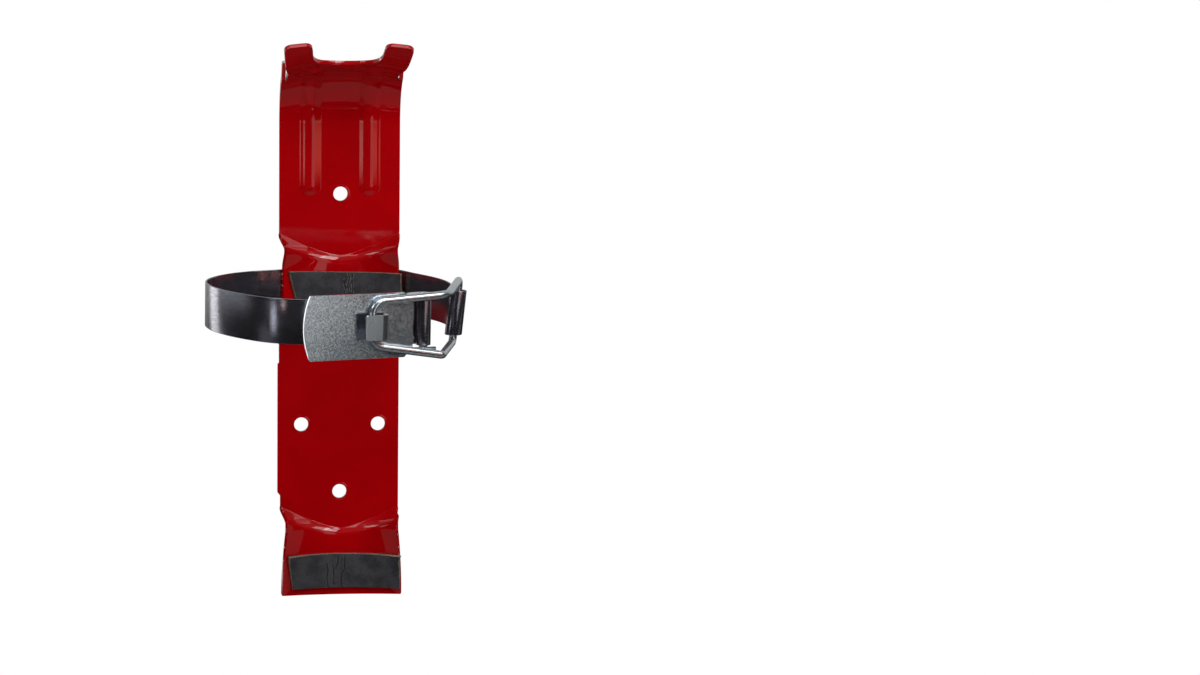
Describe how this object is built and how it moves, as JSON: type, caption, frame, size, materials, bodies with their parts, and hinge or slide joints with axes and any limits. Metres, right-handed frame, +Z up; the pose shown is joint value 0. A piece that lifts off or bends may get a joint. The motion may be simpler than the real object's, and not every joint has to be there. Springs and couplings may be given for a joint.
{
  "type": "fire extinguisher bracket",
  "caption": "Wall bracket for a small fire extinguisher: stamped plate with neck fork and padded cradles, and a sprung steel band closed by a toggle lever and wire bail.",
  "frame": {"origin": "on the plate's flat wall face, on the plate's centre line between the pair of screw holes and the bottom screw hole", "axes": "+Z up the wall, +Y into the wall, +X to the right seen from the front"},
  "size_m": [0.1175, 0.1425, 0.2674],
  "materials": {
    "red_enamel": "glossy red baked enamel",
    "grey_foam": "matt closed-cell foam",
    "dark_spring_steel": "dark blued spring steel",
    "zinc_plated_steel": "bright zinc plate"
  },
  "bodies": {
    "frame": {"back_plate": "red_enamel", "middle_pad": "grey_foam", "lower_pad": "grey_foam", "strap": "dark_spring_steel"},
    "lever": {"latch_lever": "zinc_plated_steel", "lever_pin": "zinc_plated_steel"},
    "bail": {"bail": "zinc_plated_steel"}
  },
  "joints": [
    {"name": "lever_hinge", "type": "hinge", "parent": "frame", "child": "lever", "pos_m": [0.0275, -0.118, 0.08055], "axis": [0.0105, 0, 0.9999], "range_deg": [0, 75]},
    {"name": "bail_hinge", "type": "hinge", "parent": "frame", "child": "bail", "pos_m": [0.046, -0.084, 0.08036], "axis": [0.0105, 0, 0.9999], "range_deg": [0, 33]}
  ],
  "couplings": [
    {"joint": "bail_hinge", "follows": "lever_hinge", "ratio": 0.437}
  ]
}
